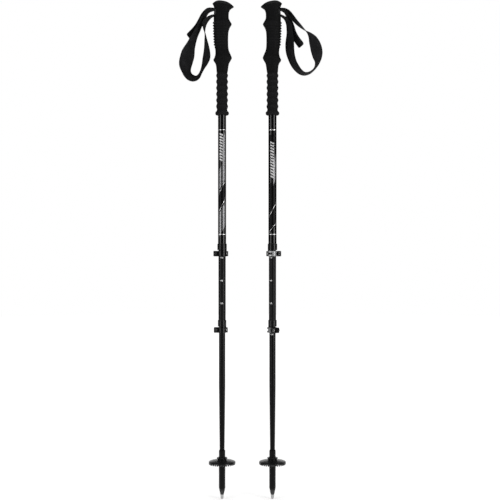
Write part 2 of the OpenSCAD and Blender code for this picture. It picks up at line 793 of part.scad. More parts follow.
// Metal tip with a hollow ground into its end, so that the edge round it bites
module tip() {
    hollow = 1.2;
    edge_r = 2.1;
    edge_round = 0.6;
    color("#c8c9cb")
        rotate_extrude()
            polygon([
                [0, hollow], [edge_r - 0.8, hollow * 2 / 3], [edge_r, 0], [edge_r + edge_round, edge_round],
                [tip_r - 0.4, tip_show * 0.4], [tip_r, tip_show], [shank_r, tip_show],
                [shank_r, tip_show + shank_l], [0, tip_show + shank_l]
            ]);
}

// Each piece stands on its own pole's axis
module on_pole(side) {
    translate([pole_x(side), 0, 0])
        children();
}
module on_lock(side, z, turn) {
    translate([pole_x(side), 0, z])
        rotate([0, 0, turn])
            children();
}

for (side = SIDES) {
    on_pole(side) grip(side);
    on_pole(side) grip_cap(side);
    on_pole(side) grip_extension();
    on_pole(side) strap_neck(side);
    on_pole(side) strap_loop(side);
    on_pole(side) strap_wedge(side);
    on_pole(side) strap_pin();
    on_pole(side) tube_plug();
    on_pole(side) upper_tube();
    on_lock(side, upper_lock_z, upper_turn(side)) lock_collar(upper_r, middle_r);
    on_lock(side, upper_lock_z, upper_turn(side)) lock_lever(upper_r);
    on_lock(side, upper_lock_z, upper_turn(side)) lock_pin(upper_r);
    on_lock(side, upper_lock_z, upper_turn(side)) lock_screw(upper_r);
    on_pole(side) middle_bushing();
    on_pole(side) middle_tube();
    on_lock(side, lower_lock_z, lower_turn(side)) lock_collar(middle_r, lower_r);
    on_lock(side, lower_lock_z, lower_turn(side)) lock_lever(middle_r);
    on_lock(side, lower_lock_z, lower_turn(side)) lock_pin(middle_r);
    on_lock(side, lower_lock_z, lower_turn(side)) lock_screw(middle_r);
    on_pole(side) lower_bushing();
    on_pole(side) lower_tube();
    on_pole(side) tip_ferrule();
    on_pole(side) basket();
    on_pole(side) tip();
}
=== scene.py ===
import math

import bpy
import numpy as np
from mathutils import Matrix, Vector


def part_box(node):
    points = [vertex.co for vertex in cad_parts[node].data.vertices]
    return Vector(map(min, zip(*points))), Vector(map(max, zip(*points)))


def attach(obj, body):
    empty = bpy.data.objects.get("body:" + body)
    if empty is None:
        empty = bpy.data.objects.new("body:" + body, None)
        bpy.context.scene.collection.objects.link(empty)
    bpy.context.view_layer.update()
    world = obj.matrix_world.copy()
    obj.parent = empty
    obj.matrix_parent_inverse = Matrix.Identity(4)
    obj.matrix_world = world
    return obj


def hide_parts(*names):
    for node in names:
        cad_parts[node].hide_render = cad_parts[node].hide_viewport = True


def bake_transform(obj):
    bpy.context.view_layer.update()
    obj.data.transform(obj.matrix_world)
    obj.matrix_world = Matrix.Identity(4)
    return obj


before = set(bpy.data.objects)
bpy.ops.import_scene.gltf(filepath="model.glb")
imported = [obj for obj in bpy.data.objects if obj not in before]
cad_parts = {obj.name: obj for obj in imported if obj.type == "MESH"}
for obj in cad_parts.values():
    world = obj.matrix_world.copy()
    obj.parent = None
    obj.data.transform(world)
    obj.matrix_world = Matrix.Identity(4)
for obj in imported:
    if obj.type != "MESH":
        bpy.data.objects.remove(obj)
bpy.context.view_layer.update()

bl_info = {
    "name": "Trekking poles",
    "version": (1, 0, 0),
    "blender": (4, 5, 0),
    "location": "View3D > Sidebar > Poles",
    "description": "Dresses a pair of lever-lock trekking poles and lights them on a pale stage",
    "category": "Object",
}

MM = 0.001
SIDES = ("left", "right")
OUTWARD = {"left": -1.0, "right": 1.0}


def axis_x(side):
    """X of a pole's axis, from its tube."""
    low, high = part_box(f"{side}_upper_tube")
    return (low.x + high.x) / 2


# Grids into meshes


def grid_faces(rows, columns, wrap_rows):
    """Quads of a grid whose columns close round, and whose rows close too where asked."""
    last = rows if wrap_rows else rows - 1
    r, c = np.meshgrid(np.arange(last), np.arange(columns), indexing="ij")
    up, right = (r + 1) % rows, (c + 1) % columns
    return np.stack(
        [r * columns + c, r * columns + right, up * columns + right, up * columns + c], axis=-1
    ).reshape(-1, 4)


def shell(name, points, wrap_rows=False, poles=False, flip=False, sharp=40, marks=None, uv=None):
    """A mesh object from an array of rows x columns x 3 in metres. poles closes both ends with a fan.
    marks are point values by name, and uv is an array of rows x columns x 2 that follows the surface."""
    rows, columns = points.shape[:2]
    verts = points.reshape(-1, 3)
    faces = grid_faces(rows, columns, wrap_rows)
    if flip:
        faces = faces[:, ::-1]
    faces = faces.tolist()
    if poles:
        ends = np.stack([points[0].mean(0), points[-1].mean(0)])
        base = len(verts)
        verts = np.concatenate([verts, ends])
        k = np.arange(columns)
        foot = np.stack([k, np.full(columns, base), (k + 1) % columns], axis=1)
        top = (rows - 1) * columns
        head = np.stack([top + k, top + (k + 1) % columns, np.full(columns, base + 1)], axis=1)
        fans = np.concatenate([foot, head])
        faces += (fans[:, ::-1] if flip else fans).tolist()
    mesh = bpy.data.meshes.new(name)
    mesh.from_pydata(verts.tolist(), [], faces)
    mesh.update()
    for key, values in (marks or {}).items():
        filled = np.zeros(len(verts), np.float32)
        filled[: rows * columns] = np.broadcast_to(values, (rows, columns)).ravel()
        mesh.attributes.new(key, "FLOAT", "POINT").data.foreach_set("value", filled)
    if uv is not None:
        flat = np.zeros((len(verts), 2), np.float32)
        flat[: rows * columns] = uv.reshape(-1, 2)
        corner = np.zeros(len(mesh.loops), np.int32)
        mesh.loops.foreach_get("vertex_index", corner)
        mesh.uv_layers.new(name="cloth").data.foreach_set("uv", flat[corner].ravel())
    finish_shading(mesh, sharp)
    return add(name, mesh)


def add(name, data):
    """A new object in the scene."""
    piece = bpy.data.objects.new(name, data)
    bpy.context.scene.collection.objects.link(piece)
    return piece


def stand(points, side, foot=0.0):
    """Millimetres about a pole's axis, put on that axis and up by foot, in metres."""
    return (points + np.array([axis_x(side) / MM, 0, foot])) * MM


def finish_shading(mesh, sharp):
    """Smooth faces, with edges kept hard where faces meet at more than sharp degrees."""
    mesh.polygons.foreach_set("use_smooth", np.ones(len(mesh.polygons), bool))
    mesh.set_sharp_from_angle(angle=math.radians(sharp))


def cut(piece, cutter):
    """Takes one closed shell out of another and removes the cutter."""
    knife = piece.modifiers.new("slot", "BOOLEAN")
    knife.operation, knife.solver, knife.object = "DIFFERENCE", "EXACT", cutter
    ready = piece.evaluated_get(bpy.context.evaluated_depsgraph_get())
    mesh = bpy.data.meshes.new_from_object(ready)
    piece.modifiers.clear()
    old, piece.data = piece.data, mesh
    bpy.data.meshes.remove(old)
    mesh.name = piece.name
    tool = cutter.data
    bpy.data.objects.remove(cutter)
    bpy.data.meshes.remove(tool)


def hand_over(piece, material, slot, body, *nodes):
    """Gives a new piece its material, hides the solids it stands for and lets it ride. slot is not used."""
    piece.data.materials.clear()
    piece.data.materials.append(material)
    if nodes:
        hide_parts(*nodes)
    if body:
        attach(piece, body)


def paint(node, material):
    """Puts a material on a solid of the frame, whose shape stays as it is."""
    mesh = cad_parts[node].data
    mesh.materials.clear()
    mesh.materials.append(material)


# Curves and profiles


def ease(a, b, x):
    """Smooth step from 0 at a to 1 at b."""
    t = np.clip((x - a) / (b - a), 0, 1)
    return t * t * (3 - 2 * t)


def through(stations, column, z):
    """Cubic through the stations at heights z, each slope taken from the two neighbours."""
    s = np.asarray(stations, float)
    ends = np.arange(len(s))
    a, b = np.maximum(ends - 1, 0), np.minimum(ends + 1, len(s) - 1)
    slope = (s[b, column] - s[a, column]) / (s[b, 0] - s[a, 0])
    i = np.clip(np.searchsorted(s[:, 0], z, side="right") - 1, 0, len(s) - 2)
    h = s[i + 1, 0] - s[i, 0]
    t = (z - s[i, 0]) / h
    return (
        s[i, column] * (2 * t**3 - 3 * t**2 + 1) + slope[i] * h * (t**3 - 2 * t**2 + t)
        + s[i + 1, column] * (3 * t**2 - 2 * t**3) + slope[i + 1] * h * (t**3 - t**2)
    )


def sections(z, front, rear, half, lift, lean, toward):
    """Rounded sections stacked up: front and rear halves of a squared ellipse, with a lift on the rear.
    lean tilts each section, so that it rises by that share of the way out to the rear."""
    a = 2 * np.pi * np.arange(GRIP_COLUMNS) / GRIP_COLUMNS
    c, s = np.cos(a), np.sin(a)
    bulge = lift[:, None] * ease(*PALM, -c)
    reach = np.where(c > 0, front[:, None], rear[:, None] + bulge)
    side = half[:, None] + RIB_ROUND * bulge
    out = -reach * np.sign(c) * np.abs(c) ** SQUARED
    y = side * np.sign(s) * np.abs(s) ** SQUARED
    return np.stack([toward * out, y, z[:, None] + lean[:, None] * out], axis=-1)


def turned(profile, columns):
    """Surface of revolution: radius and height pairs turned about Z."""
    a = 2 * np.pi * np.arange(columns) / columns
    r, z = np.asarray(profile, float).T
    return np.stack(
        [r[:, None] * np.cos(a), r[:, None] * np.sin(a), np.broadcast_to(z[:, None], (len(r), columns))],
        axis=-1,
    )


def spline(stations, steps):
    """Smooth curve through rows of numbers, with the given steps between neighbours."""
    s = np.asarray(stations, float)
    n = len(s) - 1
    u = np.linspace(0, n, n * steps + 1)
    i = np.minimum(u.astype(int), n - 1)
    t = (u - i)[:, None]
    p = [s[np.clip(i + k, 0, n)] for k in (-1, 0, 1, 2)]
    return 0.5 * (
        2 * p[1] + (p[2] - p[0]) * t + (2 * p[0] - 5 * p[1] + 4 * p[2] - p[3]) * t**2
        + (3 * p[1] - p[0] - 3 * p[2] + p[3]) * t**3
    )


# Node helpers and shared effects


def put(tree, kind, inputs=None, **settings):
    """Adds a shader node, sets its options, and links or sets its inputs."""
    node = tree.nodes.new("ShaderNode" + kind)
    for key, value in settings.items():
        setattr(node, key, value)
    for key, value in (inputs or {}).items():
        if isinstance(value, bpy.types.NodeSocket):
            tree.links.new(value, node.inputs[key])
        else:
            node.inputs[key].default_value = value
    return node


def calc(tree, operation, *values):
    """One step of arithmetic."""
    return put(tree, "Math", dict(enumerate(values)), operation=operation).outputs[0]


def times(tree, a, b):
    """Product of two values."""
    return calc(tree, "MULTIPLY", a, b)


def mix(tree, share, a, b):
    """Colour between a and b by share."""
    return put(tree, "Mix", {0: share, 6: a, 7: b}, data_type="RGBA").outputs[2]


def ramp(tree, value, start, stop, low=0.0, high=1.0):
    """Value carried from start..stop to low..high, and held beyond the ends."""
    return put(tree, "MapRange", {0: value, 1: start, 2: stop, 3: low, 4: high}).outputs[0]


def between(tree, share, low, high):
    """Value between low and high by share."""
    return ramp(tree, share, 0.0, 1.0, low, high)


def noise(tree, where, scale, detail):
    """Noise from 0 to 1."""
    return put(tree, "TexNoise", {"Vector": where, "Scale": scale, "Detail": detail}).outputs[0]


def tint(colour, factor, lift=0.0):
    """A colour made paler or darker."""
    return (*[min(1.0, c * factor + lift) for c in colour[:3]], 1.0)


def group(name, inputs, outputs):
    """A new node group with named float or vector sockets, and its two end nodes."""
    tree = bpy.data.node_groups.new(name, "ShaderNodeTree")
    for key, value in inputs.items():
        kind = "NodeSocketVector" if value is None else "NodeSocketFloat"
        socket = tree.interface.new_socket(key, in_out="INPUT", socket_type=kind)
        if value is not None:
            socket.default_value = value
    for key in outputs:
        tree.interface.new_socket(key, in_out="OUTPUT", socket_type="NodeSocketFloat")
    return tree, tree.nodes.new("NodeGroupInput").outputs, tree.nodes.new("NodeGroupOutput")


def give(tree, end, **values):
    """Links results to the group's outputs."""
    for key, value in values.items():
        tree.links.new(value, end.inputs[key])


def grain_group():
    """Moulded grain: fine noise with small cells in it, and a slow cloud for colour."""
    tree, at, end = group("moulded grain", {"Place": None, "Size": 900.0}, ["Height", "Cloud"])
    cell_share, cloud_scale = 0.6, 55.0
    fine = noise(tree, at["Place"], at["Size"], 3.0)
    cells = put(tree, "TexVoronoi", {"Vector": at["Place"], "Scale": at["Size"]})
    height = calc(tree, "ADD", fine, times(tree, cells.outputs["Distance"], cell_share))
    give(tree, end, Height=height, Cloud=noise(tree, at["Place"], cloud_scale, 4.0))
    return tree


def scuff_group():
    """Scuffs: thin scratches from a noise stretched along Z, shown only where a slow noise is high."""
    tree, at, end = group("scuffs", {"Place": None, "Amount": 0.5}, ["Mask"])
    across, along, patch_scale = 900.0, 60.0, 40.0
    long = put(tree, "Mapping", {"Vector": at["Place"], "Scale": (across, across, along)})
    thin = ramp(tree, noise(tree, long.outputs[0], 1.0, 2.0), 0.62, 0.72)
    patch = ramp(tree, noise(tree, at["Place"], patch_scale, 2.0), 0.5, 0.7)
    both = times(tree, thin, patch)
    give(tree, end, Mask=times(tree, both, at["Amount"]))
    return tree


def weave_group():
    """Webbing: twill that turns back in stripes across the width, and rows of stitches near the edges."""
    tree, at, end = group(
        "woven webbing", {"Along": 0.0, "Across": 0.0, "Edge": 0.0, "Pitch": 0.0012},
        ["Height", "Thread", "Stitch"],
    )
    stripe_width, yarn_share = 0.0036, 0.5
    stitch_pitch, stitch_share, seam, seam_half, stitch_rise = 0.0032, 0.72, 0.0022, 0.00032, 2.5

    def wave(way):
        """A rib to each pitch of the way."""
        return calc(tree, "SINE", times(tree, calc(tree, "DIVIDE", way, at["Pitch"]), 2 * math.pi))

    twill = wave(calc(tree, "ADD", at["Along"], calc(tree, "PINGPONG", at["Across"], stripe_width)))
    height = calc(tree, "ADD", twill, times(tree, wave(at["Across"]), yarn_share))
    step = calc(tree, "FRACT", calc(tree, "DIVIDE", at["Along"], stitch_pitch))
    dash = calc(tree, "LESS_THAN", step, stitch_share)
    stitch = times(tree, dash, calc(tree, "COMPARE", at["Edge"], seam, seam_half))
    raised = calc(tree, "ADD", height, times(tree, stitch, stitch_rise))
    give(tree, end, Height=raised, Thread=between(tree, height, 0.4, 0.6), Stitch=stitch)
    return tree


def round_tube_group():
    """Turn about the tube in radians, from the side that faces -Y, and height, for a tube on its own axis."""
    tree, at, end = group("round the tube", {"Place": None, "Axis X": 0.0, "Turn": 0.0}, ["Angle", "Height"])
    xyz = put(tree, "SeparateXYZ", {0: at["Place"]}).outputs
    x = calc(tree, "SUBTRACT", xyz[0], at["Axis X"])
    raw = calc(tree, "ARCTAN2", x, times(tree, xyz[1], -1.0))
    angle = calc(tree, "WRAP", calc(tree, "SUBTRACT", raw, at["Turn"]), math.pi, -math.pi)
    give(tree, end, Angle=angle, Height=xyz[2])
    return tree


def panel_group():
    """Printed panel: a stretch of the tube between two turns and two heights, with slanted ends."""
    tree, at, end = group(
        "printed panel",
        {"Angle": 0.0, "Height": 0.0, "Centre": 0.0, "Half": 1.0, "Foot": 0.0, "Top": 0.1, "Slant": 0.0},
        ["Mask", "Across"],
    )
    off = calc(tree, "WRAP", calc(tree, "SUBTRACT", at["Angle"], at["Centre"]), math.pi, -math.pi)
    z = calc(tree, "ADD", at["Height"], times(tree, off, at["Slant"]))
    wide = calc(tree, "LESS_THAN", calc(tree, "ABSOLUTE", off), at["Half"])
    above, below = calc(tree, "GREATER_THAN", z, at["Foot"]), calc(tree, "LESS_THAN", z, at["Top"])
    mask = times(tree, wide, times(tree, above, below))
    give(tree, end, Mask=mask, Across=off)
    return tree


def use(tree, name, build, **values):
    """Places a shared effect, built the first time that it is wanted, and returns its outputs."""
    effect = bpy.data.node_groups.get(name) or build()
    inputs = {key.replace("_", " "): value for key, value in values.items()}
    return put(tree, "Group", inputs, node_tree=effect).outputs


def finish_nodes(name, specular, metallic=0.0):
    """A new material, its tree and its shader's sockets, with the values that are the same all over."""
    material = bpy.data.materials.new(name)
    material.use_nodes = True
    tree = material.node_tree
    shader = tree.nodes["Principled BSDF"]
    shader.inputs["Specular IOR Level"].default_value = specular
    shader.inputs["Metallic"].default_value = metallic
    return material, tree, shader.inputs


def place(tree):
    """Object coordinates, in metres in the frame."""
    return put(tree, "TexCoord").outputs["Object"]


def surface(tree, size, scuffs):
    """Object coordinates, the moulded grain there, and the mask of the scuffs."""
    where = place(tree)
    grain = use(tree, "moulded grain", grain_group, Place=where, Size=size)
    return where, grain, use(tree, "scuffs", scuff_group, Place=where, Amount=scuffs)["Mask"]


def dress(tree, sockets, base, rough, height, strength, depth):
    """Links the colour, the roughness, and a bump from a height."""
    tree.links.new(base, sockets["Base Color"])
    tree.links.new(rough, sockets["Roughness"])
    bump = put(tree, "Bump", {"Height": height, "Strength": strength, "Distance": depth})
    tree.links.new(bump.outputs[0], sockets["Normal"])


def moulded(name, colour, roughness, specular, size=900.0, depth=0.00012, spread=1.6, scuffs=0.3,
            wear=None, rub_and_sheen_height=None, speckle=None):
    """Moulded rubber, foam or plastic: clouded colour, grain, scuffs, paler wear where a mark says so (on a
    cap's crown also a painted highlight), on the peaks of the grain by the share speckle, and below
    rub_and_sheen_height rubbing wear with a painted reflection of the floor."""
    material, tree, sockets = finish_nodes(name, specular)
    where, grain, worn = surface(tree, size, scuffs)
    cloud, rubbed = grain["Cloud"], tint(colour, *RUBBED)
    base = mix(tree, cloud, colour, tint(colour, spread))
    if speckle:
        base = mix(tree, ramp(tree, grain["Height"], *PEAKS, 0.0, speckle), base, rubbed)
    if wear:
        mark = put(tree, "Attribute", attribute_name=wear).outputs["Fac"]
        worn = calc(tree, "MAXIMUM", worn, times(tree, mark, cloud))
    base = mix(tree, worn, base, rubbed)
    # Paler band near the foot: rubbing wear, and a painted reflection of the floor on the ferrule's cone
    if rub_and_sheen_height:
        height = put(tree, "SeparateXYZ", {0: where}).outputs[2]
        low = ramp(tree, height, rub_and_sheen_height, rub_and_sheen_height - RUB_AND_SHEEN_FADE)
        base = mix(tree, times(tree, low, cloud), base, RUB_AND_SHEEN_COLOUR)
    rough = between(tree, cloud, roughness - 0.07, roughness + 0.09)
    dress(tree, sockets, base, rough, grain["Height"], 0.45, depth)
    return material


def metal(name, colour, roughness, scuffs=0.5):
    """Bare metal: fine grain, scuffs and uneven gloss."""
    material, tree, sockets = finish_nodes(name, 0.5, 1.0)
    _, grain, worn = surface(tree, 2600.0, scuffs)
    base = mix(tree, grain["Cloud"], tint(colour, 0.72), colour)
    base = mix(tree, worn, base, colour)
    rough = between(tree, grain["Cloud"], roughness - 0.08, roughness + 0.12)
    dress(tree, sockets, base, rough, grain["Height"], *METAL_BUMP)
    return material


def lever_alloy(name, colour, pivot, lip):
    """Grey satin alloy, half lacquer and half bare, black round the pin in the fork and on the thumb lip."""
    material, tree, sockets = finish_nodes(name, 0.4, 0.5)
    where, grain, worn = surface(tree, 2200.0, 0.5)
    flat = put(tree, "VectorMath", {0: where, 1: (1, 1, 0)}, operation="MULTIPLY").outputs[0]
    away = put(tree, "VectorMath", {0: flat, 1: pivot}, operation="DISTANCE").outputs["Value"]
    black = calc(tree, "MAXIMUM", ramp(tree, away, *FORK_EDGE), ramp(tree, away, lip - LIP_FADE, lip))
    base = mix(tree, grain["Cloud"], tint(colour, 0.8), colour)
    base = mix(tree, worn, base, tint(colour, 1.5))
    base = mix(tree, black, base, LEVER_BLACK)
    dress(tree, sockets, base, between(tree, grain["Cloud"], 0.3, 0.46), grain["Height"], *METAL_BUMP)
    return material


def satin_tube(name, colour, specular, gloss):
    """Satin coated tube: clouded colour, fine grain, and faint scuffs along it where a lock has rubbed."""
    material, tree, sockets = finish_nodes(name, specular)
    _, grain, worn = surface(tree, 1500.0, 0.3)
    base = mix(tree, grain["Cloud"], colour, tint(colour, 1.7))
    base = mix(tree, worn, base, SATIN_SCUFF)
    rough = between(tree, grain["Cloud"], gloss, gloss + 0.12)
    dress(tree, sockets, base, rough, grain["Height"], 0.2, 0.00005)
    return material


def printed_tube(name, colours, axis, turn):
    """Glossy lacquer with a print of slanted panels, a ladder of bars and thin bands round the tube."""
    material, tree, sockets = finish_nodes(name, 0.65)
    where, grain, worn = surface(tree, 700.0, 0.07)
    cloud, dark, white = grain["Cloud"], colours.print_dark, colours.print_white
    spot = use(tree, "round the tube", round_tube_group, Place=where, Axis_X=axis, Turn=turn)

    def panel(centre, half, foot, top, slant):
        """Mask of one panel, and the turn away from its middle."""
        return use(
            tree, "printed panel", panel_group, Angle=spot["Angle"], Height=spot["Height"],
            Centre=centre, Half=half, Foot=foot, Top=top, Slant=slant,
        )

    base = mix(tree, cloud, colours.lacquer, tint(colours.lacquer, 1.5))
    inked = 0.0
    for row in PRINT_DARK:
        mask = panel(*row)["Mask"]
        base = mix(tree, mask, base, dark)
        inked = calc(tree, "MAXIMUM", mask, inked)
    for row in PRINT_SILVER:
        found = panel(*row)
        stripe = calc(tree, "SINE", times(tree, found["Across"], STRIPES))
        ink = mix(tree, between(tree, stripe, 0.6, 1.0), dark, colours.print_silver)
        base = mix(tree, found["Mask"], base, ink)
        inked = calc(tree, "MAXIMUM", found["Mask"], inked)
    flake = inked
    for row in PRINT_BARS:
        found = panel(*row)
        slanted = calc(tree, "ADD", spot["Height"], times(tree, found["Across"], BAR_SLANT))
        step = calc(tree, "FRACT", calc(tree, "DIVIDE", slanted, BAR_PITCH))
        bar = times(tree, calc(tree, "LESS_THAN", step, BAR_SHARE), found["Mask"])
        base = mix(tree, bar, base, white)
        flake = calc(tree, "SUBTRACT", flake, bar)
    for row in PRINT_LINES:
        base = mix(tree, panel(*row)["Mask"], base, white)
    tree.links.new(mix(tree, worn, base, PRINT_SCUFF), sockets["Base Color"])
    metallic = {0: flake, 1: INK_FLAKE, 2: LACQUER_FLAKE}
    metallic = put(tree, "Math", metallic, operation="MULTIPLY_ADD", use_clamp=True).outputs[0]
    tree.links.new(metallic, sockets["Metallic"])
    gloss = between(tree, cloud, 0.1, 0.17)
    tree.links.new(calc(tree, "ADD", gloss, times(tree, inked, INK_ROUGH)), sockets["Roughness"])
    return material


def webbing(name, colour):
    """Woven strap: twill, stitched edges, and paler slow patches of worn yarn with a painted sheen."""
    material, tree, sockets = finish_nodes(name, 0.1)
    uv = put(tree, "UVMap", uv_map="cloth").outputs[0]
    xy = put(tree, "SeparateXYZ", {0: uv}).outputs
    edge = put(tree, "Attribute", attribute_name="edge").outputs["Fac"]
    cloth = use(tree, "woven webbing", weave_group, Along=xy[1], Across=xy[0], Edge=edge)
    cloud = use(tree, "moulded grain", grain_group, Place=place(tree), Size=1200.0)["Cloud"]
    pale = tint(colour, 1.9)
    base = mix(tree, cloth["Thread"], colour, pale)
    # Slow paler patches: worn yarn, with a painted sheen on the nap
    base = mix(tree, times(tree, cloud, 0.4), base, pale)
    base = mix(tree, ramp(tree, cloud, 0.44, 0.64, 0.0, 0.5), base, tint(colour, 3.8))
    base = mix(tree, cloth["Stitch"], base, tint(colour, 2.6))
    dress(tree, sockets, base, between(tree, cloud, 0.72, 0.9), cloth["Height"], 0.5, 0.00012)
    return material


# Tables of the object's own shapes, in millimetres where nothing else is said

# Grip stations: height, reach to the fingers, reach to the palm, half width
GRIP = [
    [0, 12.2, 12, 12.2], [14, 14.2, 13.2, 13.4], [20, 15.6, 15, 14.6], [27, 19.3, 19.1, 17.4],
    [32, 21.4, 17, 16.8], [40, 18.5, 14.9, 14.8], [49, 14.9, 15, 14], [62, 13.5, 16.4, 14],
    [88, 14, 17.8, 14], [98, 16.8, 18, 14], [106, 21, 18.2, 14], [112, 18.2, 18.4, 14],
    [118, 15.2, 18.6, 14], [125, 14.6, 18.4, 14], [133, 15.2, 17.8, 14], [140, 17.6, 17.4, 14.8],
    [144.5, 21.6, 19, 16], [148, 25.8, 21, 17.4],
]
GRIP_ROWS, GRIP_COLUMNS = 371, 128
# Palm ribs: lowest, highest and pitch, and the power that makes a crest narrow. Ridges: heights and width
RIBS, RIB_POWER = (52.0, 112.0, 6.0), 1.4
RIDGES, RIDGE_WIDTH = (106, 31), 2.5
# Sections: cosines over which a rib rises to the palm side, its share on the flanks, and the squaring power
PALM, RIB_ROUND, SQUARED = (0.15, 0.7), 0.3, 0.88
GRIP_BORE, FOAM_BORE = 9.04, 9.03
# Cap: foot, tilt as a share of the way out, rise of the dome, power of its fall, step, share of the inset
CAP_Z, CAP_LEAN, CAP_RISE, CAP_POWER, CAP_STEP, CAP_INSET = 1087.0, 0.147, 9.5, 2.7, 0.3, 0.965
# Foam: radius, roundness and half height of the flange, then crest, depth, first groove and pitch of rings
FLANGE, FLANGE_ROUND, FLANGE_HALF, FOAM_TOP = 15, 2.4, 4, 94
RING_CREST, RING_DEPTH, RING_GROOVE, RING_PITCH = 13.1, 1.8, 4.4, 13.6

# Strap routes: out from the slot's mouth, height from the slot, turn of the webbing in degrees, width
LOOP = {
    "left": [
        [0, 6, 0, 20], [12, 3, 14, 20], [20.5, -8, 22, 20], [27, -21, 24, 21], [33.5, -35, 25, 23],
        [40.5, -50, 26, 25], [46, -63, 30, 29], [51, -76, 40, 31], [55, -87, 62, 31], [58, -98, 80, 31],
        [61, -110, 70, 31], [61.7, -119.5, 55, 31], [60, -129, 40, 31], [56, -137.3, 37, 31],
        [50.2, -142.8, 38, 31], [42.5, -144.9, 36, 31], [35, -142.2, 28, 31], [29.2, -134.5, 19, 31],
        [23.7, -123.5, 21, 31], [19, -112.5, 30, 31],
        [15.7, -101, 37, 31], [15, -89, 33, 30], [15.5, -76, 26, 27], [17, -62, 17, 24], [18.5, -48, 5, 22],
        [20.5, -36, -11, 21], [20, -25.5, -23, 20], [16, -17.5, -22, 20], [9.5, -11.5, -12, 20],
        [4.5, -8.2, -5, 20], [0, -6.6, 0, 20],
    ],
    "right": [
        [0, 8.1, 0, 20], [9, 6, -8, 20], [17, 0, -16, 20], [25, -10, -18, 20], [33, -20, -14, 21],
        [42, -29, -6, 22], [52, -38, 8, 24], [62, -46, 28, 26], [69, -55, 44, 29], [73, -64, 54, 31],
        [76, -73, 60, 31], [78, -82, 62, 31], [79, -91, 56, 31], [79, -102, 40, 31], [78, -113, 18, 31],
        [73, -124, 4, 31], [64, -132, 2, 31], [53, -135, 4, 31], [43, -131, 12, 31], [34.5, -122, 19, 31],
        [28, -112, 23, 31], [23, -99, 28, 31], [20, -86, 34, 31], [19, -73, 38, 30], [19, -60, 38, 28],
        [19, -46, 36, 23], [18, -33, 34, 21], [15, -22, 24, 20], [9, -13, 10, 20], [0, -6.6, 0, 20],
    ],
}
TAIL = {
    "left": [
        [0, 8.1, 0, 20], [12, 5.6, 14, 20], [22, -5, 22, 20], [29.5, -19, 24, 20], [36.5, -31, 24, 20],
        [45, -41.5, 26, 20], [56, -53, 28, 20],
    ],
    "right": [
        [0, 6, 0, 20], [8, 2, -6, 20], [14.5, -8, -15, 20], [19.5, -19, -25, 20], [23.5, -32, -32, 20],
        [27, -45, -36, 20], [33, -57, -38, 20], [41, -68, -40, 20], [45, -74, -40, 20],
    ],
}
# The slot's mouth from the axis, its height, and the width of the webbing in it
MOUTH, SLOT_Z, NECK = 19.0, 1071.0, 20
# Rows along a strap, and the length over which the corners of its loose end are rounded
STRAP_STEP, TAIL_ROUND = 1.1, 4

# Print on the upper tube: middle and half of its turn in radians, foot, top, and slant per radian, in metres
PRINT_DARK = [
    (3.1, 1.3, 0.592, 0.700, -0.012), (0.1, 1.25, 0.640, 0.690, -0.014), (3.2, 1.2, 0.770, 0.806, -0.010),
]
PRINT_SILVER = [
    (0.1, 1.0, 0.590, 0.641, -0.016), (0.05, 0.98, 0.692, 0.736, -0.016), (0.55, 0.55, 0.742, 0.802, -0.030),
    (3.75, 0.5, 0.700, 0.752, -0.022),
]
PRINT_BARS = [(-0.2, 0.42, 0.744, 0.8033, 0.004), (3.05, 0.41, 0.7068, 0.7847, 0.004)]
PRINT_LINES = [
    (0.0, 3.2, 0.8110, 0.8125, 0.0), (0.0, 3.2, 0.5815, 0.5830, 0.0), (0.0, 1.6, 0.6445, 0.6462, -0.018),
    (0.0, 1.6, 0.6850, 0.6864, -0.018), (3.1, 1.6, 0.6350, 0.6364, -0.016),
    (3.1, 1.6, 0.5960, 0.5974, -0.011),
]
# Stripes in a silver panel per radian. Ladder: slant in metres per radian, pitch in metres, share of a bar
STRIPES, BAR_SLANT, BAR_PITCH, BAR_SHARE = 9.0, 0.004, 0.0062, 0.55
# Metal flake in ink and lacquer, and how much duller ink is
INK_FLAKE, LACQUER_FLAKE, INK_ROUGH = 0.85, 0.5, 0.26

# Length numbers: text and height of its middle, then turn from the front in radians and the tube's radius
NUMBERS, LOWER_NUMBER = [("110", 531.0), ("105", 480.6), ("100", 430.6)], ("110", 362.5)
NUMBER_TURN = {"left": -0.14, "right": -0.56}
LOWER_TURN = {"left": 2.2, "right": -0.26}
MIDDLE_RADIUS, LOWER_RADIUS = 8, 7
# Digits: share of the type's size, stretch round the tube, and spread and lift of the ink in metres
DIGIT_SHARE, DIGIT_STRETCH, INK_SPREAD, INK_LIFT = 0.7, 1.2, 0.00012, 0.00006

# Basket: radius and height of its turned profile, from the seat's height
BASKET = np.array([
    [7.4, 0], [9.7, 0], [10.1, 4], [11.7, 8.8], [14, 8.9], [20, 8.6], [24, 8.2], [27.1, 7.9], [27.5, 7.6],
    [27.6, 4.4], [27.8, 3.4], [28.9, 3.4], [29.4, 4], [29.5, 7], [29.5, 8.4], [29.2, 9], [26.5, 10.1],
    [23, 11], [18, 12], [13.8, 12.95], [12.7, 13], [9.7, 13.5], [10, 14.6], [11.4, 16.6], [11.8, 17.5],
    [11.2, 18], [9.4, 18], [7.4, 18],
])
BASKET_FOOT, TOOTH_DROP, TOOTH_STEPS = 73.0, 2.9, 12
CROWN_NOTCHES, NOTCH_DEPTH = 8, 0.13

# Finishes: factor and lift of a rubbed colour, grain that shows paler, and the paler foot in metres, rubbing
# wear with a painted reflection
RUBBED, PEAKS = (2.2, 0.012), (0.72, 1.0)
RUB_AND_SHEEN_HEIGHT, RUB_AND_SHEEN_FADE, RUB_AND_SHEEN_COLOUR = 0.024, 0.006, (0.11, 0.11, 0.112, 1.0)
SATIN_SCUFF, PRINT_SCUFF = (0.02, 0.02, 0.021, 1.0), (0.05, 0.05, 0.05, 1.0)
# Metal: strength and depth of its bump. Levers: ends of the black at fork and lip, in metres from the pin
METAL_BUMP = (0.25, 0.00004)
FORK_EDGE, LIP, LIP_FADE = (0.0075, 0.0055), {"upper": 0.0245, "lower": 0.0215}, 0.001
LEVER_BLACK = (0.012, 0.012, 0.0125, 1.0)

